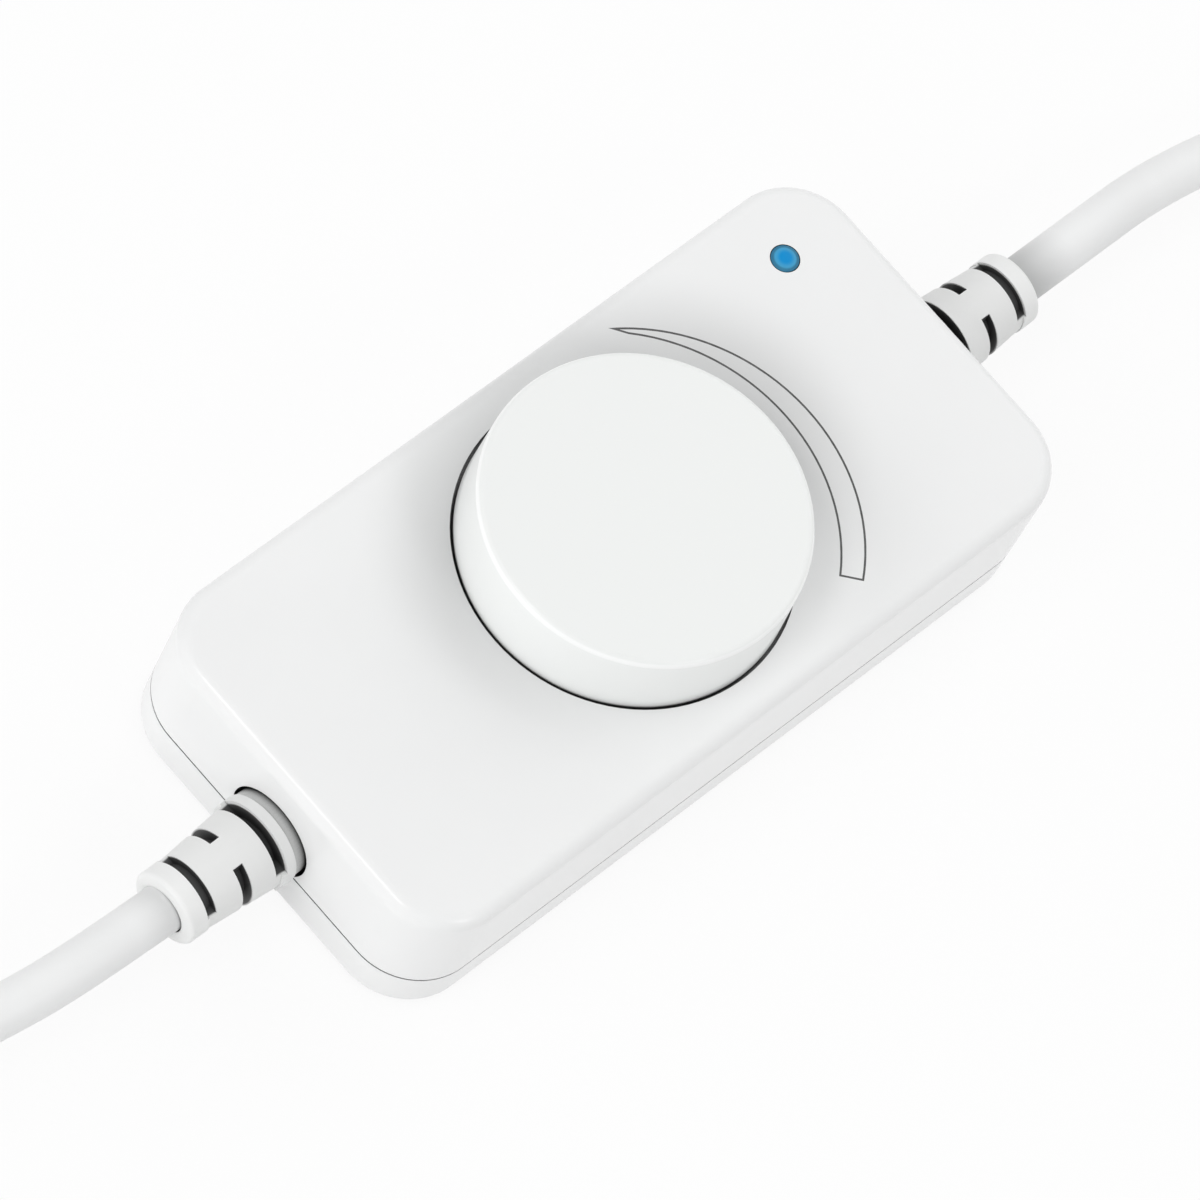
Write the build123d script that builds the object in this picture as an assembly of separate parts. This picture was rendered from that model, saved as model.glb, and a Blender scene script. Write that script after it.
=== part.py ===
from build123d import *
import os
from math import cos, pi, radians, sin, tan

# In-line LED strip dimmer: a two-part white case, a large rotary knob on a potentiometer,
# a circuit board, an indicator lamp, and a short cord at each end with a barrel connector.
# Millimetres. The origin is on the resting face, under the knob's axis.
# +X points to the output cord, +Y to the side with the indicator lamp, +Z up.

# Case
case_length = 90.0
case_width = 43.4
case_height = 18.5
case_corner = 7.5
top_edge_radius = 1.5
bottom_edge_radius = 1.2
wall = 2.0
parting_height = 5.6
parting_gap = 0.25
tongue_thickness = 0.9
tongue_gap = 0.1
tongue_height = 1.3

# Knob
knob_base_radius = 17.43
knob_top_radius = 17.15
knob_height = 9.5
knob_floor_gap = 0.35
knob_recess_depth = 1.0
knob_recess_gap = 0.35
knob_wall = 1.6
knob_crown = 1.8
knob_rim_radius = 0.7
knob_foot_radius = 0.2
knob_hub_wall = 2.0
knob_rib_count = 6
knob_rib = 1.0
knob_rib_lift = 3.0

# Brightness mark: distance out from the knob's edge and angle from +X, corner by corner
mark_tip = (6.73, 51.5)
mark_outer_bulge = (8.49, -2.8)
mark_outer_end = (7.14, -44.4)
mark_inner_end = (4.57, -44.0)
mark_inner_bulge = (6.04, 5.2)
mark_inner_start = (6.27, 46.5)
mark_line = 0.22
mark_depth = 0.15

# Indicator lamp
lamp_radius = 1.5
lamp_hole_gap = 0.1
lamp_from_end = 9.4
lamp_from_side = 7.6
lamp_height = 5.3
lamp_proud = 0.3
lamp_flange_radius = 1.9
lamp_flange = 1.0
lamp_lead_pitch = 2.54

# Circuit board
board_height = 5.0
board_thickness = 1.6
board_side_gap = 0.9
board_end_gap = 0.6
board_corner = 3.0
pin_side = 0.5
pin_hole_radius = 0.5
pin_reach = 1.4

# Case screws
screw_from_end = 18.0
screw_from_side = 7.7
screw_radius = 1.2
screw_length = 10.6
screw_head_radius = 2.2
screw_head = 1.7
screw_sink = 2.4
screw_hole_gap = 0.15
screw_bite_gap = 0.02
screw_cross = 0.6
screw_cross_reach = 3.1
screw_pilot_spare = 1.0
post_radius = 3.0

# Potentiometer and its shaft
pot_length = 9.8
pot_width = 11.4
pot_base_height = 3.0
pot_cover_height = 3.8
pot_skin = 0.5
pot_pin_pitch = 2.5
pot_pin_rise = 1.5
track_radius = 4.0
track_inner_radius = 2.6
track_thickness = 0.3
wiper_thickness = 0.3
wiper_width = 0.9
wiper_gap = 0.05
rotor_radius = 4.1
rotor_gap = 0.15
pivot_radius = 1.0
pivot_depth = 1.5
shaft_radius = 3.0
shaft_flat = 1.5
shaft_running_gap = 0.05
shaft_grip_gap = 0.03
shaft_end_gap = 0.3
bushing_wall = 0.5
bushing_hole_gap = 0.3
bushing_sink = 0.2

# Cords and strain reliefs
cord_radius = 2.6
relief_wall = 2.25
relief_tip_wall = 1.4
relief_notch_gap = 0.4
relief_lock_step = 1.15
relief_lock_thickness = 1.55
relief_lock_gap = 0.05
relief_lock_rounding = 0.3
relief_floor_gap = 0.5
relief_length = 14.1
relief_rim_place = 1.1
relief_rim_step = 0.2
relief_rim_rounding = 0.08
relief_shoulder_step = 0.3
relief_bead_step = 0.15
relief_bead_length = 2.4
relief_bead_rounding = 0.5
relief_slot_places = (2.9, 7.0, 11.4)
relief_slot_width = 1.2
relief_slot_core = 0.6
relief_bridge = 3.4
jacket_tail = 0.9

# Leads from the cords to the board
lead_radius = 0.75
lead_spread = 1.25
lead_pad_spread = 3.2
lead_pad_reach = 5.5
lead_start = 2.2
lead_lift = 2.7
lead_bend = 1.2

# Barrel connectors
grip_radius = 5.0
grip_length = 21.0
grip_rounding = 0.8
grip_shoulder = 2.0
grip_neck_wall = 1.0
grip_neck_taper = 0.4
grip_neck_length = 11.0
grip_cord_depth = 3.0
grip_groove_places = (2.2, 4.6, 7.0, 9.4)
grip_groove_width = 0.9
grip_groove_depth = 0.45
barrel_radius = 2.75
barrel_wall = 0.4
barrel_length = 9.5
barrel_seat = 3.0
barrel_seat_step = 0.35
barrel_chamfer = 0.15
contact_bore_radius = 1.05
contact_wall = 0.35
contact_recess = 0.8
insulator_recess = 0.4
seat_gap = 0.02
socket_depth = 10.0
socket_gap = 0.1
sleeve_wall = 0.4
sleeve_recess = 0.5
socket_pin_radius = 1.0
socket_pin_recess = 1.0
socket_pin_seat = 2.0

# Parts on the board, sizes as length, width and height
capacitor_radius = 4.0
capacitor_deck_gap = 0.9
capacitor_lead_pitch = 3.5
capacitor_rounding = 0.5
capacitor_from_end = 5.5
capacitor_from_side = 6.5
fuse_size = (6.1, 2.6, 2.6)
fuse_cap = 1.3
fuse_from_end = 5.9
fuse_from_side = 6.0
chip_size = (4.9, 3.9, 1.4)
chip_lift = 0.15
chip_from_pot = 9.0
chip_side_place = 6.0
chip_lead_count = 4
chip_lead_pitch = 1.27
chip_lead_width = 0.4
chip_lead_thickness = 0.2
chip_lead_rise = 0.7
chip_lead_reach = 1.1
transistor_size = (6.1, 6.5, 2.3)
transistor_tab = 0.5
transistor_tab_reach = 3.0
transistor_from_pot = 12.0
transistor_side_place = -5.0
transistor_lead_width = 0.8
transistor_lead_pitch = 4.6
transistor_lead_reach = 2.0
diode_radius = 1.35
diode_length = 5.2
diode_lead_radius = 0.35
diode_lead_reach = 1.8
diode_bend = 0.8
diode_from_pot = 8.0
diode_side_place = -9.0
resistor_size = (3.2, 1.6, 0.6)
resistor_cap = 0.5
resistor_columns = (6.0, 10.5, 15.0)
resistor_rows = (6.0, 9.4)
small_capacitor_size = (2.0, 1.25, 1.1)
small_capacitor_cap = 0.5
small_capacitor_from_pot = 16.0
small_capacitor_rows = (-1.0, 2.0, 5.0, 8.0)

# Heights and places that follow from these
case_end = case_length / 2
case_side = case_width / 2
inner_end = case_end - wall
inner_side = case_side - wall
deck_underside = case_height - wall
tongue_top = parting_height + tongue_height
board_top = board_height + board_thickness
pin_bottom = board_height - pin_reach
knob_recess_floor = case_height - knob_recess_depth
knob_bottom = knob_recess_floor + knob_floor_gap
knob_top = knob_bottom + knob_height
knob_ceiling = knob_top - knob_crown
knob_hub_radius = shaft_radius + knob_hub_wall
relief_neck_radius = cord_radius + relief_wall
relief_lock_radius = relief_neck_radius + relief_lock_step
relief_lock_end = inner_end - relief_lock_gap - relief_lock_thickness
relief_end = case_end + relief_length
cord_axis = wall + relief_floor_gap + relief_lock_radius
jacket_end = relief_lock_end - jacket_tail
board_end = jacket_end - board_end_gap
board_side = inner_side - board_side_gap
pot_end = pot_length / 2
pot_base_top = board_top + pot_base_height
pot_top = pot_base_top + pot_cover_height
bushing_radius = shaft_radius + shaft_running_gap + bushing_wall
bushing_top = knob_recess_floor - bushing_sink
track_top = pot_base_top + track_thickness
wiper_bottom = track_top + wiper_gap
rotor_bottom = wiper_bottom + wiper_thickness
rotor_top = pot_top - pot_skin - rotor_gap
shaft_top = knob_ceiling - shaft_end_gap
lamp_x = case_end - lamp_from_end
lamp_y = case_side - lamp_from_side
lamp_top = case_height + lamp_proud
lamp_bottom = lamp_top - lamp_height
capacitor_place = (capacitor_from_end - board_end, capacitor_from_side - board_side)
capacitor_top = deck_underside - capacitor_deck_gap
fuse_place = (fuse_from_end - board_end, board_side - fuse_from_side)
chip_place = (-pot_end - chip_from_pot, chip_side_place)
transistor_place = (pot_end + transistor_from_pot, transistor_side_place)
diode_place = (-pot_end - diode_from_pot, diode_side_place)
resistor_places = [(pot_end + x, y) for x in resistor_columns for y in resistor_rows]
small_capacitor_places = [
    (-pot_end - small_capacitor_from_pot, y) for y in small_capacitor_rows
]
screw_places = [
    (x * (case_end - screw_from_end), y * (case_side - screw_from_side))
    for x in (-1, 1)
    for y in (-1, 1)
]
pot_pin_places = [
    (pot_end + pin_side / 2, k * pot_pin_pitch) for k in (-1, 0, 1)
]
lamp_lead_places = [(lamp_x + k * lamp_lead_pitch / 2, lamp_y) for k in (-1, 1)]
capacitor_lead_places = [
    (capacitor_place[0] + k * capacitor_lead_pitch / 2, capacitor_place[1])
    for k in (-1, 1)
]
diode_lead_places = [
    (diode_place[0], diode_place[1] + k * (diode_length / 2 + diode_lead_reach))
    for k in (-1, 1)
]
grip_neck_radius = cord_radius + grip_neck_wall
grip_neck_end_radius = grip_neck_radius + grip_neck_taper
connector_length = grip_neck_length + grip_length

# Routes of the two cords, from the end of the jacket inside the case to inside the connector.
# Distances along X are counted from the tip of the strain relief; the cords come down to the
# resting face, lie on it, and rise a little into the connectors.
lying = cord_radius
input_route = [
    (jacket_end - relief_end, 0.0, cord_axis),
    (8.7, 0.0, cord_axis),
    (23.7, 2.2, 7.0),
    (46.2, 7.2, lying),
    (68.2, 9.6, lying),
    (83.7, 10.2, grip_radius),
    (95.2 + grip_cord_depth, 10.2, grip_radius),
]
output_route = [
    (jacket_end - relief_end, 0.0, cord_axis),
    (8.7, 0.0, cord_axis),
    (23.7, 0.3, 7.0),
    (46.2, -3.2, lying),
    (68.2, -7.4, lying),
    (83.7, -9.2, grip_radius),
    (95.2 + grip_cord_depth, -9.2, grip_radius),
]


# Basic shapes
def block(x0, x1, y0, y1, z0, z1):
    middle = Pos((x0 + x1) / 2, (y0 + y1) / 2, (z0 + z1) / 2)
    return middle * Box(abs(x1 - x0), abs(y1 - y0), abs(z1 - z0))


def block_on(place, length, width, z0, z1):
    x, y = place
    return block(x - length / 2, x + length / 2, y - width / 2, y + width / 2, z0, z1)


def post(place, radius, z0, z1):
    x, y = place
    return Pos(x, y, (z0 + z1) / 2) * Cylinder(radius, z1 - z0)


def rod_along_x(x0, x1, z, radius):
    return Pos((x0 + x1) / 2, 0, z) * Rot(0, 90, 0) * Cylinder(radius, abs(x1 - x0))


def slab(inset, z0, z1):
    outline = RectangleRounded(
        case_length - 2 * inset, case_width - 2 * inset, case_corner - inset
    )
    return Pos(0, 0, z0) * extrude(outline, z1 - z0)


def turned_about_x(profile, radii):
    # solid of revolution from points (x, radius), each corner with its own rounding
    loop = FilletPolyline(*[(x, 0, r) for x, r in profile], radius=radii, close=True)
    return revolve(make_face(loop), Axis.X)


def turned_about_z(profile, radii):
    # solid of revolution from points (radius, z), each corner with its own rounding
    loop = FilletPolyline(*[(r, 0, z) for r, z in profile], radius=radii, close=True)
    return revolve(make_face(loop), Axis.Z)


def tube_along(path, radius):
    start = Plane(origin=path @ 0, z_dir=path % 0)
    return sweep(start * Circle(radius), path=path)


def round_the_other_end(solid):
    return Rot(0, 0, 180) * solid


def group(solids):
    return Compound(children=[part for solid in solids for part in solid.solids()])


# Case shells
def case_outside():
    body = slab(0, 0, case_height)
    body = fillet(body.edges().group_by(Axis.Z)[-1], top_edge_radius)
    return fillet(body.edges().group_by(Axis.Z)[0], bottom_edge_radius)


def case_between(z0, z1):
    return case_outside() & block(-case_length, case_length, -case_width, case_width, z0, z1)


def relief_notches():
    notch = rod_along_x(
        inner_end - wall / 2,
        case_end + wall / 2,
        cord_axis,
        relief_neck_radius + relief_notch_gap,
    )
    return notch + round_the_other_end(notch)


def mark_point(place):
    gap, angle = place
    reach = knob_base_radius + gap
    return (reach * cos(radians(angle)), reach * sin(radians(angle)))


def mark_face():
    tip, outer_end = mark_point(mark_tip), mark_point(mark_outer_end)
    inner_end_point, inner_start = mark_point(mark_inner_end), mark_point(mark_inner_start)
    outline = [
        ThreePointArc(tip, mark_point(mark_outer_bulge), outer_end),
        Line(outer_end, inner_end_point),
        ThreePointArc(inner_end_point, mark_point(mark_inner_bulge), inner_start),
        Line(inner_start, tip),
    ]
    return make_face(outline)


def brightness_mark():
    # a thin line round the crescent, filled flush with the deck
    face = mark_face()
    inside = offset(face, amount=-mark_line, kind=Kind.INTERSECTION)
    return Pos(0, 0, case_height - mark_depth) * extrude(face - inside, mark_depth)


def top_shell():
    shell = case_between(parting_height + parting_gap / 2, case_height + 1)
    shell -= slab(wall, 0, deck_underside)
    shell -= slab(wall - tongue_thickness - tongue_gap, 0, tongue_top)
    shell -= relief_notches()
    above, below = case_height + 1, deck_underside - 1
    shell -= post((0, 0), knob_base_radius + knob_recess_gap, knob_recess_floor, above)
    shell -= post((0, 0), bushing_radius + bushing_hole_gap, below, above)
    shell -= post((lamp_x, lamp_y), lamp_radius + lamp_hole_gap, below, above)
    for place in screw_places:
        shell += post(place, post_radius, board_top, deck_underside)
    for place in screw_places:
        pilot_top = screw_sink + screw_length + screw_pilot_spare
        shell -= post(place, screw_radius + screw_bite_gap, board_top - 1, pilot_top)
    return shell - brightness_mark()


def bottom_shell():
    shell = case_between(-1, parting_height - parting_gap / 2)
    shell -= slab(wall, wall, case_height)
    tongue = slab(wall - tongue_thickness, parting_height - 1, tongue_top)
    shell += tongue - slab(wall, 0, case_height)
    shell -= relief_notches()
    for place in screw_places:
        shell += post(place, post_radius, wall, board_height)
    for place in screw_places:
        shell -= post(place, screw_head_radius + screw_hole_gap, -1, screw_sink)
        shell -= post(place, screw_radius + screw_hole_gap, -1, board_height + 1)
    return shell


def case_screw(place):
    head_bottom = screw_sink - screw_head
    screw = post(place, screw_head_radius, head_bottom, screw_sink)
    screw += post(place, screw_radius, screw_sink, screw_sink + screw_length)
    deep = head_bottom + screw_head / 2
    screw -= block_on(place, screw_cross_reach, screw_cross, head_bottom - 1, deep)
    screw -= block_on(place, screw_cross, screw_cross_reach, head_bottom - 1, deep)
    return screw


# Knob and potentiometer
def knob_radius_at(z):
    share = (z - knob_bottom) / knob_height
    return knob_base_radius + share * (knob_top_radius - knob_base_radius)


def shaft_section(gap, z0, z1):
    # round with one flat, on the +Y side
    section = post((0, 0), shaft_radius + gap, z0, z1)
    return section - block(
        -2 * shaft_radius, 2 * shaft_radius, shaft_flat + gap, 2 * shaft_radius, z0 - 1, z1 + 1
    )


def knob():
    profile = [
        (0, knob_top),
        (knob_top_radius, knob_top),
        (knob_base_radius, knob_bottom),
        (knob_base_radius - knob_wall, knob_bottom),
        (knob_radius_at(knob_ceiling) - knob_wall, knob_ceiling),
        (0, knob_ceiling),
    ]
    cap = turned_about_z(profile, [0, knob_rim_radius, knob_foot_radius, 0, 0, 0])
    cap += post((0, 0), knob_hub_radius, knob_bottom, knob_ceiling)
    inside_radius = knob_radius_at(knob_ceiling) - knob_wall
    for k in range(knob_rib_count):
        rib = block(
            knob_hub_radius - knob_rib / 2,
            inside_radius + knob_rib / 4,
            -knob_rib / 2,
            knob_rib / 2,
            knob_bottom + knob_rib_lift,
            knob_ceiling,
        )
        cap += Rot(0, 0, 360 * k / knob_rib_count) * rib
    return cap - shaft_section(shaft_grip_gap, knob_bottom - 1, knob_ceiling)


def pot_base():
    base = block_on((0, 0), pot_length, pot_width, board_top, pot_base_top)
    socket_bottom = pot_base_top - pivot_depth - shaft_running_gap
    return base - post((0, 0), pivot_radius + shaft_running_gap, socket_bottom, pot_top)


def pot_track():
    track = post((0, 0), track_radius, pot_base_top, track_top)
    return track - post((0, 0), track_inner_radius, board_top, pot_top)


def pot_cover():
    cover = block_on((0, 0), pot_length, pot_width, pot_base_top, pot_top)
    inside_length, inside_width = pot_length - 2 * pot_skin, pot_width - 2 * pot_skin
    cover -= block_on((0, 0), inside_length, inside_width, board_top, pot_top - pot_skin)
    return cover - post((0, 0), shaft_radius + shaft_running_gap, board_top, case_height)


def pot_bushing():
    bushing = post((0, 0), bushing_radius, pot_top, bushing_top)
    return bushing - post((0, 0), shaft_radius + shaft_running_gap, board_top, knob_top)


def pot_rotor():
    rotor = post((0, 0), pivot_radius, pot_base_top - pivot_depth, rotor_bottom)
    rotor += post((0, 0), rotor_radius, rotor_bottom, rotor_top)
    rotor += post((0, 0), shaft_radius, rotor_top, knob_recess_floor)
    return rotor + shaft_section(0, knob_recess_floor, shaft_top)


def pot_wiper():
    middle = (track_radius + track_inner_radius) / 2
    ring = post((0, 0), middle + wiper_width / 2, wiper_bottom, rotor_bottom)
    return ring - post((0, 0), middle - wiper_width / 2, board_top, pot_top)


def pin(place, top):
    return block_on(place, pin_side, pin_side, pin_bottom, top)


# Board and what is soldered to it
def circuit_board():
    outline = RectangleRounded(2 * board_end, 2 * board_side, board_corner)
    board = Pos(0, 0, board_height) * extrude(outline, board_thickness)
    for place in screw_places:
        board -= post(place, screw_radius + 2 * screw_hole_gap, 0, case_height)
    pins = pot_pin_places + lamp_lead_places + capacitor_lead_places + diode_lead_places
    for place in pins:
        board -= post(place, pin_hole_radius, 0, case_height)
    return board


def electrolytic_capacitor():
    x, y = capacitor_place
    profile = [(0, board_top), (capacitor_radius, board_top)]
    profile += [(capacitor_radius, capacitor_top), (0, capacitor_top)]
    can = turned_about_z(profile, [0, capacitor_rounding / 2, capacitor_rounding, 0])
    return Pos(x, y, 0) * can


def chip_body():
    length, width, height = chip_size
    bottom = board_top + chip_lift
    return block_on(chip_place, length, width, bottom, bottom + height)


def chip_leads():
    x0, y0 = chip_place
    width = chip_size[1]
    leads = []
    for side in (-1, 1):
        for k in range(chip_lead_count):
            x = x0 + (k - (chip_lead_count - 1) / 2) * chip_lead_pitch
            foot_end = y0 + side * (width / 2 + chip_lead_reach)
            body_side = y0 + side * width / 2
            knee = body_side + side * chip_lead_reach / 2
            ways = sorted((body_side, knee)), sorted((knee, foot_end))
            low, high = board_top, board_top + chip_lead_rise
            half = chip_lead_width / 2
            arm = block(x - half, x + half, *ways[0], high, high + chip_lead_thickness)
            foot = block(x - half, x + half, *ways[1], low, low + chip_lead_thickness)
            leg_side = sorted((knee, knee - side * chip_lead_thickness))
            leg = block(x - half, x + half, *leg_side, low, high + chip_lead_thickness)
            leads.append(arm + leg + foot)
    return group(leads)


def power_transistor():
    length, width, height = transistor_size
    bottom = board_top + transistor_tab
    return block_on(transistor_place, length, width, bottom, board_top + height)


def transistor_tab_plate():
    x, y = transistor_place
    length, width, _ = transistor_size
    start = x - length / 2
    end = x + length / 2 + transistor_tab_reach
    half = width / 2 - transistor_tab / 2
    return block(start, end, y - half, y + half, board_top, board_top + transistor_tab)


def transistor_leads():
    x, y = transistor_place
    end = x - transistor_size[0] / 2 - transistor_lead_reach
    leads = []
    for k in (-1, 1):
        place = ((end + x - transistor_size[0] / 2) / 2, y + k * transistor_lead_pitch / 2)
        top = board_top + transistor_tab
        leads.append(
            block_on(place, transistor_lead_reach, transistor_lead_width, board_top, top)
        )
    return group(leads)


def diode_body():
    x, y = diode_place
    height = board_top + diode_radius
    return Pos(x, y, height) * Rot(90, 0, 0) * Cylinder(diode_radius, diode_length)


def diode_leads():
    leads = []
    height = board_top + diode_radius
    for k, (x, y) in zip((-1, 1), diode_lead_places):
        start = (x, diode_place[1] + k * diode_length / 2, height)
        path = FilletPolyline(start, (x, y, height), (x, y, pin_bottom), radius=diode_bend)
        leads.append(tube_along(path, diode_lead_radius))
    return group(leads)


def fuse():
    length, width, height = fuse_size
    return block_on(fuse_place, length - 2 * fuse_cap, width, board_top, board_top + height)


def end_caps(place, size, cap):
    x, y = place
    length, width, height = size
    reach = (length - cap) / 2
    return [
        block_on((x + k * reach, y), cap, width, board_top, board_top + height)
        for k in (-1, 1)
    ]


def board_chip(place, size, cap):
    length, width, height = size
    return block_on(place, length - 2 * cap, width, board_top, board_top + height)


def lamp():
    flange_top = lamp_bottom + lamp_flange
    body = post((lamp_x, lamp_y), lamp_flange_radius, lamp_bottom, flange_top)
    body += post((lamp_x, lamp_y), lamp_radius, flange_top, case_height)
    lens_radius = (lamp_radius**2 + lamp_proud**2) / (2 * lamp_proud)
    lens = Pos(lamp_x, lamp_y, lamp_top - lens_radius) * Sphere(lens_radius)
    return body + (lens & post((lamp_x, lamp_y), lamp_radius + 1, case_height, lamp_top + 1))


# Strain reliefs, cords and leads
def strain_relief():
    lock_start = inner_end - relief_lock_gap
    rim_start = case_end + relief_rim_place
    rim_end = case_end + relief_slot_places[0]
    rim_radius = relief_neck_radius + relief_rim_step
    bead_start = relief_end - relief_bead_length
    tip_radius = cord_radius + relief_tip_wall
    bead_radius = tip_radius + relief_bead_step
    profile = [
        (relief_lock_end, 0),
        (relief_lock_end, relief_lock_radius),
        (lock_start, relief_lock_radius),
        (lock_start, relief_neck_radius),
        (rim_start, relief_neck_radius),
        (rim_start, rim_radius),
        (rim_end, rim_radius),
        (rim_end, rim_radius - relief_shoulder_step),
        (bead_start, tip_radius),
        (bead_start, bead_radius),
        (relief_end, bead_radius),
        (relief_end, 0),
    ]
    rounding = [0, relief_lock_rounding, 0, 0, 0, relief_rim_rounding, 0, 0, 0]
    rounding += [relief_bead_step / 2, relief_bead_rounding, 0]
    relief = turned_about_x(profile, rounding)
    relief = Pos(0, 0, cord_axis) * relief
    for k, place in enumerate(relief_slot_places):
        start = case_end + place - relief_slot_width / 2
        end = start + relief_slot_width
        slot = rod_along_x(start, end, cord_axis, 2 * relief_neck_radius)
        slot -= rod_along_x(start - 1, end + 1, cord_axis, cord_radius + relief_slot_core)
        turn = Pos(0, 0, cord_axis) * Rot(90 * (k % 2), 0, 0)
        reach = 5 * relief_neck_radius
        bridge = turn * Box(2 * (end + 1), reach, relief_bridge)
        relief -= slot - bridge
    return relief - rod_along_x(relief_lock_end - 1, relief_end + 1, cord_axis, cord_radius)


def corner_radii(points):
    # each arc as large as its two runs allow
    radii = []
    for before, corner, after in zip(points, points[1:], points[2:]):
        into, out = Vector(*corner) - Vector(*before), Vector(*after) - Vector(*corner)
        half_turn = radians(into.get_angle(out)) / 2
        radii.append(0.45 * min(into.length, out.length) / tan(half_turn))
    return radii


def cord(side, route, name):
    points = [(side * (relief_end + x), y, z) for x, y, z in route]
    radii = corner_radii(points)
    path = FilletPolyline(*points, radius=radii)
    tube = tube_along(path, cord_radius)
    share = tube.volume / (pi * cord_radius**2 * path.length)
    print(name, "length", round(path.length, 1), "radii", [round(r, 1) for r in radii])
    print(name, "volume over section times length", round(share, 4))
    return tube


def lead(side, k):
    points = [
        (side * jacket_end, k * lead_spread, cord_axis),
        (side * (jacket_end - lead_start), k * lead_spread, cord_axis),
        (side * (jacket_end - lead_pad_reach), k * lead_pad_spread, board_top + lead_lift),
        (side * (jacket_end - lead_pad_reach), k * lead_pad_spread, board_top),
    ]
    return tube_along(FilletPolyline(*points, radius=lead_bend), lead_radius)


# Barrel connectors, drawn from the rear face at x = 0 towards the mating face
def connector_grip():
    profile = [
        (0, 0),
        (0, grip_neck_radius),
        (grip_neck_length, grip_neck_end_radius),
        (grip_neck_length + grip_shoulder, grip_radius),
        (connector_length, grip_radius),
        (connector_length, 0),
    ]
    soft = grip_rounding
    grip = turned_about_x(profile, [0, soft / 2, soft, soft, soft, 0])
    for place in grip_groove_places:
        start, end = place - grip_groove_width / 2, place + grip_groove_width / 2
        groove = rod_along_x(start, end, 0, grip_radius)
        grip -= groove - rod_along_x(start, end, 0, grip_neck_radius - grip_groove_depth)
    return grip - rod_along_x(-1, grip_cord_depth, 0, cord_radius)


def tube_of(x0, x1, outer, inner):
    return rod_along_x(x0, x1, 0, outer) - rod_along_x(x0 - 1, x1 + 1, 0, inner)


def plug_pieces():
    seat = connector_length - barrel_seat
    tip = connector_length + barrel_length
    seat_radius = barrel_radius + barrel_seat_step
    grip = connector_grip() - rod_along_x(seat, tip, 0, seat_radius + seat_gap)
    inside = barrel_radius - barrel_wall
    contact_radius = contact_bore_radius + contact_wall
    barrel = tube_of(connector_length, tip, barrel_radius, inside)
    barrel = chamfer(barrel.edges().group_by(Axis.X)[-1], barrel_chamfer)
    barrel += tube_of(seat, connector_length, seat_radius, inside)
    return {
        "output_plug_grip": grip,
        "output_plug_barrel": barrel,
        "output_plug_insulator": tube_of(
            seat, tip - insulator_recess, inside - seat_gap, contact_radius + seat_gap
        ),
        "output_plug_contact": tube_of(
            seat, tip - contact_recess, contact_radius, contact_bore_radius
        ),
    }


def socket_pieces():
    bottom = connector_length - socket_depth
    bore = barrel_radius + socket_gap
    grip = connector_grip()
    grip -= rod_along_x(bottom, connector_length + 1, 0, bore + sleeve_wall + seat_gap)
    grip -= rod_along_x(bottom - socket_pin_seat, bottom + 1, 0, socket_pin_radius + seat_gap)
    pin_tip = connector_length - socket_pin_recess
    contact = rod_along_x(bottom - socket_pin_seat, pin_tip, 0, socket_pin_radius)
    contact = fillet(contact.edges().group_by(Axis.X)[-1], socket_pin_radius / 2)
    return {
        "input_socket_body": grip,
        "input_socket_sleeve": tube_of(
            bottom, connector_length - sleeve_recess, bore + sleeve_wall, bore
        ),
        "input_socket_pin": contact,
    }


def placed_on_cord(pieces, side, route):
    x, y, z = route[-1]
    rear = side * (relief_end + x - grip_cord_depth)
    facing = Rot(0, 0, 0 if side > 0 else 180)
    return {name: Pos(rear, y, z) * facing * solid for name, solid in pieces.items()}


parts = {
    "top_shell": top_shell(),
    "bottom_shell": bottom_shell(),
    "case_screws": group([case_screw(place) for place in screw_places]),
    "brightness_mark": brightness_mark(),
    "knob": knob(),
    "pot_base": pot_base(),
    "pot_track": pot_track(),
    "pot_cover": pot_cover(),
    "pot_bushing": pot_bushing(),
    "pot_pins": group([pin(place, board_top + pot_pin_rise) for place in pot_pin_places]),
    "pot_rotor_shaft": pot_rotor(),
    "pot_wiper": pot_wiper(),
    "circuit_board": circuit_board(),
    "electrolytic_capacitor": electrolytic_capacitor(),
    "capacitor_leads": group([pin(place, board_top) for place in capacitor_lead_places]),
    "control_chip": chip_body(),
    "control_chip_leads": chip_leads(),
    "power_transistor": power_transistor(),
    "transistor_tab": transistor_tab_plate(),
    "transistor_leads": transistor_leads(),
    "diode": diode_body(),
    "diode_leads": diode_leads(),
    "fuse": fuse(),
    "fuse_caps": group(end_caps(fuse_place, fuse_size, fuse_cap)),
    "resistors": group(
        [board_chip(place, resistor_size, resistor_cap) for place in resistor_places]
    ),
    "small_capacitors": group(
        [
            board_chip(place, small_capacitor_size, small_capacitor_cap)
            for place in small_capacitor_places
        ]
    ),
    "solder_ends": group(
        [cap for place in resistor_places for cap in end_caps(place, resistor_size, resistor_cap)]
        + [
            cap
            for place in small_capacitor_places
            for cap in end_caps(place, small_capacitor_size, small_capacitor_cap)
        ]
    ),
    "indicator_lamp": lamp(),
    "indicator_lamp_leads": group([pin(place, lamp_bottom) for place in lamp_lead_places]),
    "input_strain_relief": round_the_other_end(strain_relief()),
    "output_strain_relief": strain_relief(),
    "input_cord": cord(-1, input_route, "input_cord"),
    "output_cord": cord(1, output_route, "output_cord"),
    "input_positive_lead": lead(-1, 1),
    "input_negative_lead": lead(-1, -1),
    "output_positive_lead": lead(1, 1),
    "output_negative_lead": lead(1, -1),
}
parts.update(placed_on_cord(socket_pieces(), -1, input_route))
parts.update(placed_on_cord(plug_pieces(), 1, output_route))

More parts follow.
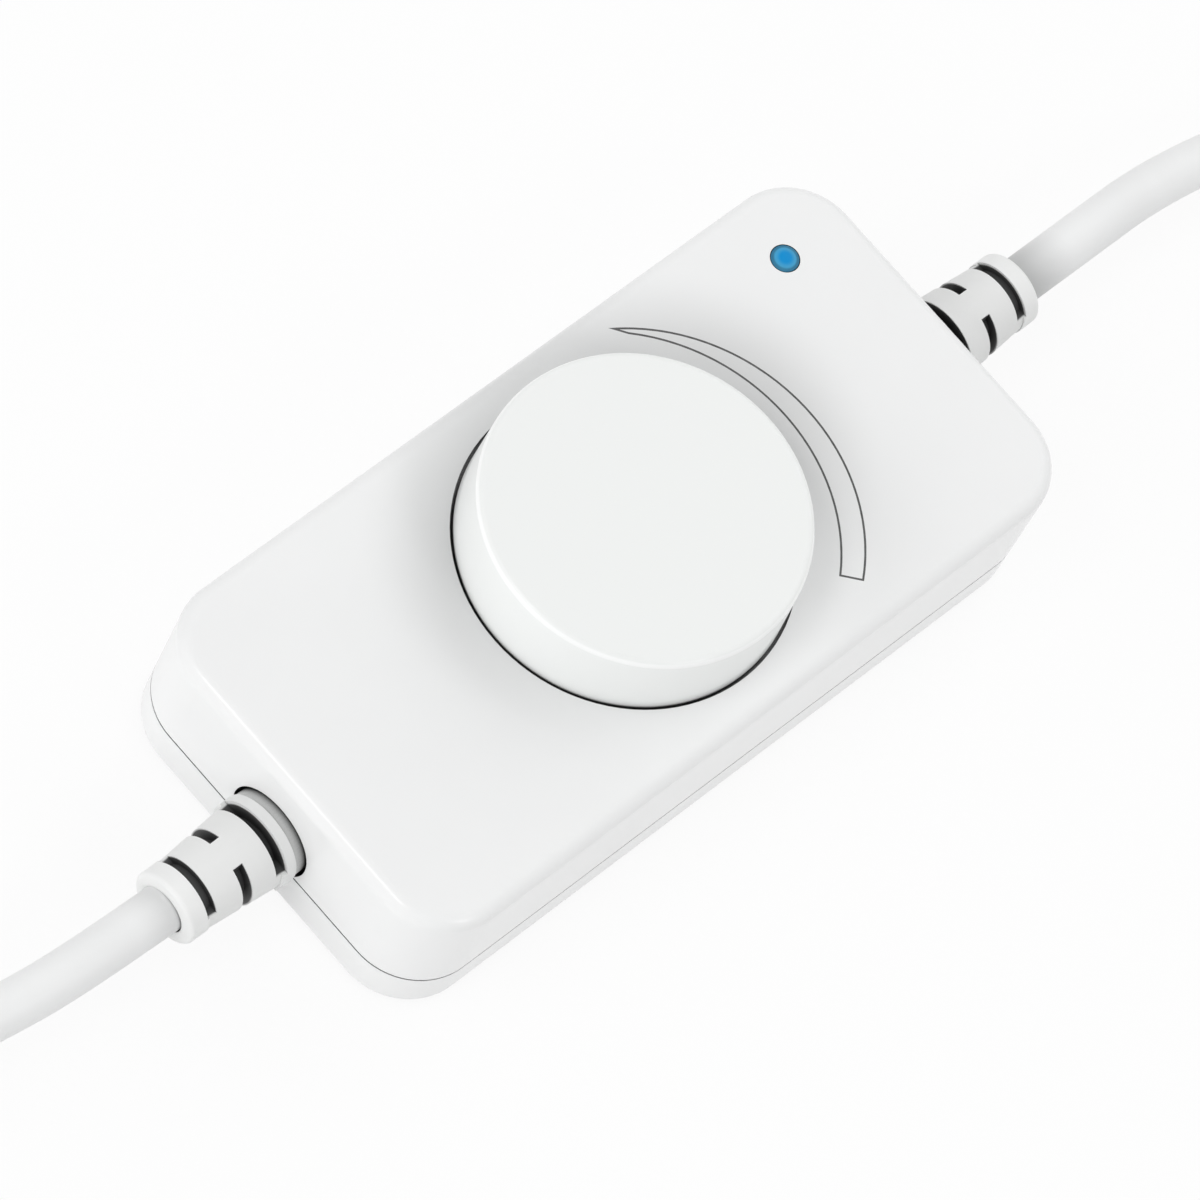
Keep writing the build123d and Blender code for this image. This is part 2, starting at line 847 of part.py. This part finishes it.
os.makedirs("parts", exist_ok=True)
for name, solid in parts.items():
    export_step(solid, f"parts/{name}.step")
print(len(parts), "nodes")
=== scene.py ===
from math import cos, radians, sin

import bpy
from mathutils import Matrix, Vector


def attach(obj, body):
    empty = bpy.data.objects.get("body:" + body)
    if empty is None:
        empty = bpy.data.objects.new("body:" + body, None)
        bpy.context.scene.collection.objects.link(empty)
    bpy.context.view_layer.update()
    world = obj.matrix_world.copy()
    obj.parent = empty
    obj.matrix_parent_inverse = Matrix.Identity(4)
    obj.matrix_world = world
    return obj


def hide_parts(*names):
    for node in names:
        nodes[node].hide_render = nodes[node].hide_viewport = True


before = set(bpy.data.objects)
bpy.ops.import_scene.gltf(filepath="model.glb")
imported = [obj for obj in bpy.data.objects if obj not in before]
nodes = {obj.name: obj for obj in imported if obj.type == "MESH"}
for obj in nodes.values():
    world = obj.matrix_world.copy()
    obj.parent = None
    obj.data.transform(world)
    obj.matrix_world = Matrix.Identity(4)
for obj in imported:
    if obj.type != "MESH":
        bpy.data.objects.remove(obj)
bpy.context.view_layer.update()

mm = 0.001


# Camera: long lens, turned on its own axis so that the case runs up to the right
shot = {
    "azimuth": -69.446,
    "elevation": 60.213,
    "roll": 30.358,
    "distance": 959.4 * mm,
    "target": (0, 0, 13 * mm),
    "lens": 290.05,
    "sensor": 36,
    "shift": (-0.00888, -0.02495),
    "clip": (0.05, 20),
}


def placeCamera():
    az, el, roll = (radians(shot[k]) for k in ("azimuth", "elevation", "roll"))
    back = Vector((sin(az) * cos(el), -cos(az) * cos(el), sin(el)))
    level = Vector((cos(az), sin(az), 0))
    upright = back.cross(level)
    right = level * cos(roll) + upright * sin(roll)
    up = upright * cos(roll) - level * sin(roll)
    data = bpy.data.cameras.new("camera")
    data.lens = shot["lens"]
    data.sensor_width = shot["sensor"]
    data.shift_x, data.shift_y = shot["shift"]
    data.clip_start, data.clip_end = shot["clip"]
    camera = bpy.data.objects.new("camera", data)
    eye = Vector(shot["target"]) + back * shot["distance"]
    turned = Matrix((right, up, back)).transposed().to_4x4()
    camera.matrix_world = Matrix.Translation(eye) @ turned
    bpy.context.scene.collection.objects.link(camera)
    bpy.context.scene.camera = camera


placeCamera()
print("camera placed")


# Materials. One maker serves every moulded, drawn or plated finish, and each finish has a dictionary.
# Lengths in these dictionaries are in millimetres
plainFinish = {
    # what a finish has where its own dictionary says nothing else
    "metal": 0,
    "ior": 1.46,
    "coat": 0,
    "coatRough": 0.1,
    "stretch": (1, 1, 1),
    "bands": (),
}
texture = {
    "cloudDetail": 3,
    "wearDetail": 5,
    "grainDetail": 2,
    "wearPatch": 6,          # width of one patch of wear
    "middle": (0.3, 0.7),    # where most values of a noise lie
}
# settings of the painted shade in crevices, read from the open sky around a point
hollow = {
    "samples": 8,
    "open": (0.25, 0.65),    # fully dark below the first share of open sky, clear above the second
}


def newMaterial(name, look):
    material = bpy.data.materials.new(name)
    material.use_nodes = True
    tree = material.node_tree
    shader = tree.nodes["Principled BSDF"]
    shader.inputs["Metallic"].default_value = look["metal"]
    shader.inputs["IOR"].default_value = look["ior"]
    shader.inputs["Coat Weight"].default_value = look["coat"]
    shader.inputs["Coat Roughness"].default_value = look["coatRough"]
    return material, tree, shader


def noise(tree, place, size, detail, stretch=(1, 1, 1)):
    # size is the width of one blotch
    spread = tree.nodes.new("ShaderNodeMapping")
    spread.inputs["Scale"].default_value = [1 / (size * mm * share) for share in stretch]
    tree.links.new(place, spread.inputs["Vector"])
    blotches = tree.nodes.new("ShaderNodeTexNoise")
    blotches.inputs["Scale"].default_value = 1
    blotches.inputs["Detail"].default_value = detail
    tree.links.new(spread.outputs["Vector"], blotches.inputs["Vector"])
    return blotches.outputs["Fac"]


def ramp(tree, value, low, high):
    # spreads a noise, which stays near its middle, over low to high
    start, end = texture["middle"]
    span = tree.nodes.new("ShaderNodeMapRange")
    span.inputs["From Min"].default_value = start
    span.inputs["From Max"].default_value = end
    span.inputs["To Min"].default_value = low
    span.inputs["To Max"].default_value = high
    tree.links.new(value, span.inputs["Value"])
    return span.outputs["Result"]


def blendColours(tree, amount, first, second):
    # a colour is three numbers or what another node gives
    mix = tree.nodes.new("ShaderNodeMix")
    mix.data_type = "RGBA"
    tree.links.new(amount, mix.inputs["Factor"])
    for socket, colour in ((mix.inputs["A"], first), (mix.inputs["B"], second)):
        if hasattr(colour, "default_value"):
            tree.links.new(colour, socket)
        else:
            socket.default_value = (*colour, 1)
    return mix.outputs["Result"]


def smoothStep(tree, value, start, end):
    span = tree.nodes.new("ShaderNodeMapRange")
    span.interpolation_type = "SMOOTHSTEP"
    span.inputs["From Min"].default_value = start
    span.inputs["From Max"].default_value = end
    tree.links.new(value, span.inputs["Value"])
    return span.outputs["Result"]


def distance(tree, place, axes, centre=(0, 0, 0)):
    # how far a point lies from a centre, each axis counted by its share
    offset = tree.nodes.new("ShaderNodeVectorMath")
    offset.operation = "SUBTRACT"
    offset.inputs[1].default_value = [c * mm for c in centre]
    tree.links.new(place, offset.inputs[0])
    flat = tree.nodes.new("ShaderNodeVectorMath")
    flat.operation = "MULTIPLY"
    flat.inputs[1].default_value = axes
    tree.links.new(offset.outputs[0], flat.inputs[0])
    length = tree.nodes.new("ShaderNodeVectorMath")
    length.operation = "LENGTH"
    tree.links.new(flat.outputs[0], length.inputs[0])
    return length.outputs["Value"]


def paintCreviceShade(tree, colour, look):
    # painted shade in slots and narrow gaps, darker where less open sky reaches a point
    reach, dark = look["crevice"]
    sky = tree.nodes.new("ShaderNodeAmbientOcclusion")
    sky.samples = hollow["samples"]
    sky.inputs["Distance"].default_value = reach * mm
    clear = smoothStep(tree, sky.outputs["AO"], *hollow["open"])
    return blendColours(tree, clear, dark, colour)


def shadeBand(tree, place, colour, band):
    # another colour near a centre, which fades outwards to the colour around it
    away = distance(tree, place, band["axes"], band.get("centre", (0, 0, 0)))
    fade = smoothStep(tree, away, band["start"] * mm, band["end"] * mm)
    return blendColours(tree, fade, band["colour"], colour)


def paintSlotShade(tree, place, colour, slots):
    # painted shade on the floor and walls of the slots in the tapered relief, below its outer skin
    bottom, top = slots["shade"]
    out = distance(tree, place, (0, 1, 1), (0, 0, slots["axisHeight"]))
    along = distance(tree, place, (1, 0, 0))
    skin = tree.nodes.new("ShaderNodeMath")
    skin.operation = "MULTIPLY_ADD"
    skin.inputs[1].default_value = slots["taper"]
    tree.links.new(along, skin.inputs[0])
    tree.links.new(out, skin.inputs[2])
    level = slots["radius"] + slots["taper"] * slots["start"]
    deep = smoothStep(tree, skin.outputs[0], (level - bottom) * mm, (level - top) * mm)
    past = smoothStep(tree, along, slots["end"] * mm, (slots["end"] + slots["fade"]) * mm)
    light = tree.nodes.new("ShaderNodeMath")
    light.operation = "MAXIMUM"
    tree.links.new(deep, light.inputs[0])
    tree.links.new(past, light.inputs[1])
    return blendColours(tree, light.outputs[0], slots["colour"], colour)


def finish(name, look):
    look = {**plainFinish, **look}
    material, tree, shader = newMaterial(name, look)
    place = tree.nodes.new("ShaderNodeTexCoord").outputs["Object"]
    cloud = ramp(tree, noise(tree, place, look["cloud"], texture["cloudDetail"]), 0, 1)
    colour = blendColours(tree, cloud, look["colour"], look["colourToo"])
    for band in look["bands"]:
        colour = shadeBand(tree, place, colour, band)
    # painted shade in the relief's slots
    if "slots" in look:
        colour = paintSlotShade(tree, place, colour, look["slots"])
    # painted shade in crevices and narrow gaps
    if "crevice" in look:
        colour = paintCreviceShade(tree, colour, look)
    tree.links.new(colour, shader.inputs["Base Color"])
    wear = noise(tree, place, texture["wearPatch"], texture["wearDetail"], look["stretch"])
    rough = ramp(tree, wear, *look["rough"])
    tree.links.new(rough, shader.inputs["Roughness"])
    normal = None
    for size, height in look["grain"]:
        grain = noise(tree, place, size, texture["grainDetail"], look["stretch"])
        bump = tree.nodes.new("ShaderNodeBump")
        bump.inputs["Strength"].default_value = 1
        bump.inputs["Distance"].default_value = height * mm
        tree.links.new(grain, bump.inputs["Height"])
        if normal:
            tree.links.new(normal, bump.inputs["Normal"])
        normal = bump.outputs["Normal"]
    tree.links.new(normal, shader.inputs["Normal"])
    return material


shellWhite = {
    "colour": (0.895, 0.9, 0.9),
    "colourToo": (0.88, 0.885, 0.885),
    "cloud": 14,
    # the knob's soft shade on the deck, mostly on its output and far sides, and none below the deck
    "bands": [
        {
            "centre": (3.4, 3.8, 0),
            "axes": (0.8, 1, 0),
            "start": 12.7,
            "end": 24,
            "colour": (0.615, 0.62, 0.62),
        },
        {"axes": (0, 0, 1), "start": 16.5, "end": 18.4, "colour": (0.895, 0.9, 0.9)},
    ],
    # painted shade in crevices and gaps: how far it looks, and how dark
    "crevice": (1.2, (0.02, 0.02, 0.02)),
    "coat": 0.5,
    "coatRough": 0.1,
    "rough": (0.34, 0.42),
    "grain": [(9, 0.012), (0.5, 0.0025)],
}
knobWhite = {
    # the rim's painted highlight colour; the bands give the top and the side their own colour
    "colour": (0.98, 0.99, 0.985),
    "colourToo": (0.98, 0.99, 0.985),
    "cloud": 11,
    # painted highlight: the rim is painted brighter than the top inside it and the side below it
    "bands": [
        {"axes": (1, 1, 0), "start": 16.88, "end": 17.0, "colour": (0.89, 0.905, 0.895)},
        {"axes": (0, 0, 1), "start": 26.62, "end": 26.75, "colour": (0.91, 0.925, 0.915)},
    ],
    # painted shade in crevices and gaps: how far it looks, and how dark
    "crevice": (1.0, (0.02, 0.02, 0.02)),
    "coat": 0.4,
    "coatRough": 0.08,
    "rough": (0.36, 0.44),
    "grain": [(8, 0.008), (0.5, 0.0025)],
}
reliefWhite = {
    "colour": (0.88, 0.885, 0.88),
    "colourToo": (0.86, 0.865, 0.86),
    "cloud": 3,
    # inwards from the end ring: the tapered body, a little darker, then the neck beside the case,
    # darkened with painted shade
    "bands": [
        {"axes": (1, 0, 0), "start": 56.6, "end": 57.2, "colour": (0.82, 0.825, 0.82)},
        # painted shade on the neck in the case's notch
        {"axes": (1, 0, 0), "start": 46.0, "end": 46.2, "colour": (0.6, 0.605, 0.6)},
    ],
    # painted shade in the slots: where it lies and how dark
    "slots": {
        "axisHeight": 8.5,
        "radius": 4.75,
        "start": 47.9,
        "end": 57.2,
        "taper": 0.0825,
        "shade": (0.25, 0.05),   # dark from the first depth below the skin, clear above the second
        "fade": 0.05,
        "colour": (0.075, 0.075, 0.076),
    },
    # painted shade in crevices and gaps: how far it looks, and how dark
    "crevice": (1.8, (0.02, 0.02, 0.02)),
    "rough": (0.42, 0.52),
    "grain": [(2, 0.01), (0.25, 0.002)],
}
cordWhite = {
    "colour": (0.89, 0.895, 0.895),
    "colourToo": (0.86, 0.865, 0.865),
    "cloud": 9,
    # soft shade beside each strain relief, deeper on the output side
    "bands": [
        {
            "centre": (-59.1, 0, 0),
            "axes": (1, 0, 0),
            "start": 0.2,
            "end": 5,
            "colour": (0.76, 0.765, 0.765),
        },
        {
            "centre": (59.1, 0, 0),
            "axes": (1, 0, 0),
            "start": 0.2,
            "end": 8,
            "colour": (0.53, 0.535, 0.535),
        },
    ],
    "stretch": (6, 1, 1),
    "rough": (0.4, 0.5),
    "grain": [(1.2, 0.008), (0.2, 0.0015)],
}
markInk = {
    "colour": (0.07, 0.07, 0.07),
    "colourToo": (0.12, 0.12, 0.12),
    "cloud": 0.8,
    "rough": (0.5, 0.65),
    "grain": [(0.1, 0.002)],
}
moulding = {
    "colour": (0.016, 0.016, 0.017),
    "colourToo": (0.03, 0.03, 0.031),
    "cloud": 1.5,
    "rough": (0.4, 0.6),
    "grain": [(0.15, 0.004)],
}
canSleeve = {
    "colour": (0.012, 0.014, 0.03),
    "colourToo": (0.02, 0.022, 0.045),
    "cloud": 3,
    "rough": (0.16, 0.28),
    "coat": 0.4,
    "grain": [(1.5, 0.01)],
}
resinBrown = {
    "colour": (0.16, 0.065, 0.025),
    "colourToo": (0.22, 0.1, 0.04),
    "cloud": 0.7,
    "rough": (0.5, 0.7),
    "grain": [(0.2, 0.006)],
}
ceramicWhite = {
    "colour": (0.74, 0.72, 0.66),
    "colourToo": (0.66, 0.64, 0.58),
    "cloud": 0.8,
    "rough": (0.5, 0.65),
    "grain": [(0.12, 0.004)],
}
ceramicTan = {
    "colour": (0.48, 0.34, 0.2),
    "colourToo": (0.4, 0.27, 0.15),
    "cloud": 0.4,
    "rough": (0.45, 0.6),
    "grain": [(0.08, 0.003)],
}
wireRed = {
    "colour": (0.5, 0.012, 0.012),
    "colourToo": (0.4, 0.008, 0.008),
    "cloud": 2,
    "rough": (0.32, 0.45),
    "grain": [(0.4, 0.004)],
}
wireBlack = {
    "colour": (0.015, 0.015, 0.016),
    "colourToo": (0.03, 0.03, 0.032),
    "cloud": 2,
    "rough": (0.32, 0.45),
    "grain": [(0.4, 0.004)],
}
zincPlate = {
    "metal": 1,
    "colour": (0.58, 0.58, 0.57),
    "colourToo": (0.48, 0.48, 0.46),
    "cloud": 0.8,
    "rough": (0.28, 0.42),
    "grain": [(0.15, 0.003)],
}
tinPlate = {
    "metal": 1,
    "colour": (0.72, 0.71, 0.69),
    "colourToo": (0.6, 0.59, 0.57),
    "cloud": 0.6,
    "rough": (0.25, 0.45),
    "grain": [(0.3, 0.006)],
}
rolledSteel = {
    "metal": 1,
    "colour": (0.6, 0.59, 0.56),
    "colourToo": (0.5, 0.49, 0.46),
    "cloud": 2,
    "stretch": (10, 1, 1),
    "rough": (0.3, 0.5),
    "grain": [(0.1, 0.002)],
}
turnedAluminium = {
    "metal": 1,
    "colour": (0.76, 0.76, 0.76),
    "colourToo": (0.68, 0.68, 0.68),
    "cloud": 1,
    "stretch": (1, 1, 0.1),
    "rough": (0.25, 0.4),
    "grain": [(0.5, 0.002)],
}
turnedBrass = {
    "metal": 1,
    "colour": (0.76, 0.58, 0.28),
    "colourToo": (0.66, 0.48, 0.22),
    "cloud": 1,
    "stretch": (1, 1, 0.1),
    "rough": (0.25, 0.4),
    "grain": [(0.5, 0.002)],
}
nickelPlate = {
    "metal": 1,
    "colour": (0.72, 0.71, 0.68),
    "colourToo": (0.64, 0.63, 0.6),
    "cloud": 2,
    "stretch": (0.15, 1, 1),
    "rough": (0.12, 0.24),
    "grain": [(0.8, 0.002)],
}
print("finishes ready")


# Floor, backdrop and lamps
studio = {
    "floorSize": 8,
    "floorColour": 0.9,
    "floorWhite": 0.9,       # share of the floor that the camera sees as plain white
    "skyLight": 0.39,
    "lamps": {
        # name: place, size, watts, and whether glossy surfaces mirror it
        "endLamp": ((-1.9, 0.15, 1.05), (1.1, 1.1), 10.2, False),
        "endNearLamp": ((-1.6, -1.3, 0.95), (1.0, 1.0), 4.6, False),
        "endFarLamp": ((-1.45, 1.45, 0.95), (1.4, 1.4), 9, False),
        "nearLamp": ((0.95, -1.45, 1.2), (1.3, 0.8), 2, False),
        "outputLamp": ((1.2, 0.15, 0.95), (1.4, 1.4), 9.8, False),
        "edgeLamp": ((-1.2, 0.38, 1.9), (0.8, 0.4), 6, True),
        "rimLamp": ((0.0, -1.6, 1.6), (0.5, 0.5), 4, True),
    },
}


def seenByCamera(tree):
    # 1 where a camera, mirror or see-through ray looks
    path = tree.nodes.new("ShaderNodeLightPath")
    total = path.outputs["Is Camera Ray"]
    for other in ("Is Glossy Ray", "Is Transmission Ray"):
        larger = tree.nodes.new("ShaderNodeMath")
        larger.operation = "MAXIMUM"
        tree.links.new(total, larger.inputs[0])
        tree.links.new(path.outputs[other], larger.inputs[1])
        total = larger.outputs[0]
    return total


def layFloor():
    half = studio["floorSize"] / 2
    mesh = bpy.data.meshes.new("floor")
    corners = [(-half, -half, 0), (half, -half, 0), (half, half, 0), (-half, half, 0)]
    mesh.from_pydata(corners, [], [(0, 1, 2, 3)])
    floor = bpy.data.objects.new("floor", mesh)
    bpy.context.scene.collection.objects.link(floor)
    material = bpy.data.materials.new("paleFloor")
    material.use_nodes = True
    tree = material.node_tree
    tree.nodes.clear()
    matt = tree.nodes.new("ShaderNodeBsdfDiffuse")
    matt.inputs["Color"].default_value = (*[studio["floorColour"]] * 3, 1)
    white = tree.nodes.new("ShaderNodeEmission")
    share = tree.nodes.new("ShaderNodeMath")
    share.operation = "MULTIPLY"
    share.inputs[1].default_value = studio["floorWhite"]
    tree.links.new(seenByCamera(tree), share.inputs[0])
    mix = tree.nodes.new("ShaderNodeMixShader")
    tree.links.new(share.outputs[0], mix.inputs["Fac"])
    tree.links.new(matt.outputs[0], mix.inputs[1])
    tree.links.new(white.outputs[0], mix.inputs[2])
    out = tree.nodes.new("ShaderNodeOutputMaterial")
    tree.links.new(mix.outputs[0], out.inputs["Surface"])
    mesh.materials.append(material)


def lightSky():
    world = bpy.data.worlds.new("sky")
    bpy.context.scene.world = world
    world.use_nodes = True
    tree = world.node_tree
    background = tree.nodes["Background"]
    background.inputs["Color"].default_value = (1, 1, 1, 1)
    level = tree.nodes.new("ShaderNodeMapRange")
    level.inputs["To Min"].default_value = studio["skyLight"]
    level.inputs["To Max"].default_value = 1
    tree.links.new(seenByCamera(tree), level.inputs["Value"])
    tree.links.new(level.outputs["Result"], background.inputs["Strength"])


def hangLamp(name, place, size, watts, mirrored):
    data = bpy.data.lights.new(name, "AREA")
    data.shape = "RECTANGLE"
    data.size, data.size_y = size
    data.energy = watts
    lamp = bpy.data.objects.new(name, data)
    lamp.location = place
    lamp.visible_glossy = mirrored
    lamp.rotation_mode = "QUATERNION"
    lamp.rotation_quaternion = (-Vector(place)).to_track_quat("-Z", "Y")
    bpy.context.scene.collection.objects.link(lamp)


layFloor()
lightSky()
for lampName, lamp in studio["lamps"].items():
    hangLamp(lampName, *lamp)
print("floor, sky and lamps ready")


# The two cords, as smooth lines through the air and along the floor
cords = {
    "diameter": 5.2,
    "reliefEnd": 59.1,
    "stepsAlong": 24,
    "stepsRound": 12,
    # along X from the tip of the strain relief, across, and height
    "inputRoute": [
        (-19.3, 0, 8.5),
        (8.7, 0, 8.5),
        (23.7, 2.2, 7.0),
        (46.2, 7.2, 2.6),
        (68.2, 9.6, 2.6),
        (83.7, 10.2, 5.0),
        (98.2, 10.2, 5.0),
    ],
    "outputRoute": [
        (-19.3, 0, 8.5),
        (8.7, 0, 8.5),
        (23.7, 0.3, 7.0),
        (46.2, -3.2, 2.6),
        (68.2, -7.4, 2.6),
        (83.7, -9.2, 5.0),
        (98.2, -9.2, 5.0),
    ],
}


def layCord(name, side, route, node, jacket):
    points = [(side * (cords["reliefEnd"] + x) * mm, y * mm, z * mm) for x, y, z in route]
    curve = bpy.data.curves.new(name, "CURVE")
    curve.dimensions = "3D"
    spline = curve.splines.new("NURBS")
    spline.points.add(len(points) - 1)
    for point, place in zip(spline.points, points):
        point.co = (*place, 1)
    spline.order_u = 3
    spline.use_endpoint_u = True
    spline.resolution_u = cords["stepsAlong"]
    curve.bevel_depth = cords["diameter"] / 2 * mm
    curve.bevel_resolution = cords["stepsRound"]
    curve.use_fill_caps = True
    cord = bpy.data.objects.new(name, curve)
    bpy.context.scene.collection.objects.link(cord)
    curve.materials.append(jacket)
    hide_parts(node)
    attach(cord, "housing")


jacket = finish("cordJacket", cordWhite)
layCord("inputCord", -1, cords["inputRoute"], "input_cord", jacket)
layCord("outputCord", 1, cords["outputRoute"], "output_cord", jacket)
print("cords laid")


# Finishes of the CAD pieces
lampLens = {
    "colour": (0.03, 0.16, 0.28),
    "colourToo": (0.04, 0.2, 0.33),
    "cloud": 1.2,
    # a paler ring inside the darker rim, then the deep blue middle
    "bands": [
        {
            "centre": (35.6, 14.1, 0),
            "axes": (1, 1, 0),
            "start": 1.05,
            "end": 1.3,
            "colour": (0.06, 0.35, 0.6),
        },
        {
            "centre": (35.6, 14.1, 0),
            "axes": (1, 1, 0),
            "start": 0.5,
            "end": 1.1,
            "colour": (0.002, 0.27, 0.63),
        },
    ],
    "rough": (0.4, 0.5),
    "grain": [(0.3, 0.004)],
    "ior": 1.3,
}
boardGreen = {
    "colour": (0.012, 0.11, 0.035),
    "colourToo": (0.02, 0.16, 0.05),
    "cloud": 3,
    "rough": (0.3, 0.42),
    "grain": [(0.4, 0.006)],
}
finishes = {
    "shellPlastic": (shellWhite, ["top_shell", "bottom_shell"]),
    "knobPlastic": (knobWhite, ["knob"]),
    "reliefPlastic": (
        reliefWhite,
        ["input_strain_relief", "output_strain_relief", "input_socket_body", "output_plug_grip"],
    ),
    "markLine": (markInk, ["brightness_mark"]),
    "lampBlue": (lampLens, ["indicator_lamp"]),
    "zincScrew": (zincPlate, ["case_screws"]),
    "potBase": (resinBrown, ["pot_base"]),
    "potSteel": (rolledSteel, ["pot_cover"]),
    "potBrass": (turnedBrass, ["pot_bushing", "pot_wiper"]),
    "shaftAluminium": (turnedAluminium, ["pot_rotor_shaft"]),
    "boardMask": (boardGreen, ["circuit_board"]),
    "canSleeve": (canSleeve, ["electrolytic_capacitor"]),
    "blackMoulding": (
        moulding,
        ["control_chip", "power_transistor", "diode", "resistors", "pot_track",
         "output_plug_insulator"],
    ),
    "fuseCeramic": (ceramicWhite, ["fuse"]),
    "chipCeramic": (ceramicTan, ["small_capacitors"]),
    "tinnedMetal": (
        tinPlate,
        ["pot_pins", "capacitor_leads", "control_chip_leads", "transistor_tab",
         "transistor_leads", "diode_leads", "fuse_caps", "solder_ends", "indicator_lamp_leads"],
    ),
    "nickelPlate": (
        nickelPlate,
        ["input_socket_sleeve", "input_socket_pin", "output_plug_barrel", "output_plug_contact"],
    ),
    "redLead": (wireRed, ["input_positive_lead", "output_positive_lead"]),
    "blackLead": (wireBlack, ["input_negative_lead", "output_negative_lead"]),
}


def dress(name, material):
    data = nodes[name].data
    data.materials.clear()
    data.materials.append(material)


for finishName, (look, names) in finishes.items():
    material = finish(finishName, look)
    for name in names:
        dress(name, material)
print("finishes on", sum(len(names) for look, names in finishes.values()), "CAD pieces")

bpy.context.scene.view_settings.view_transform = "Standard"
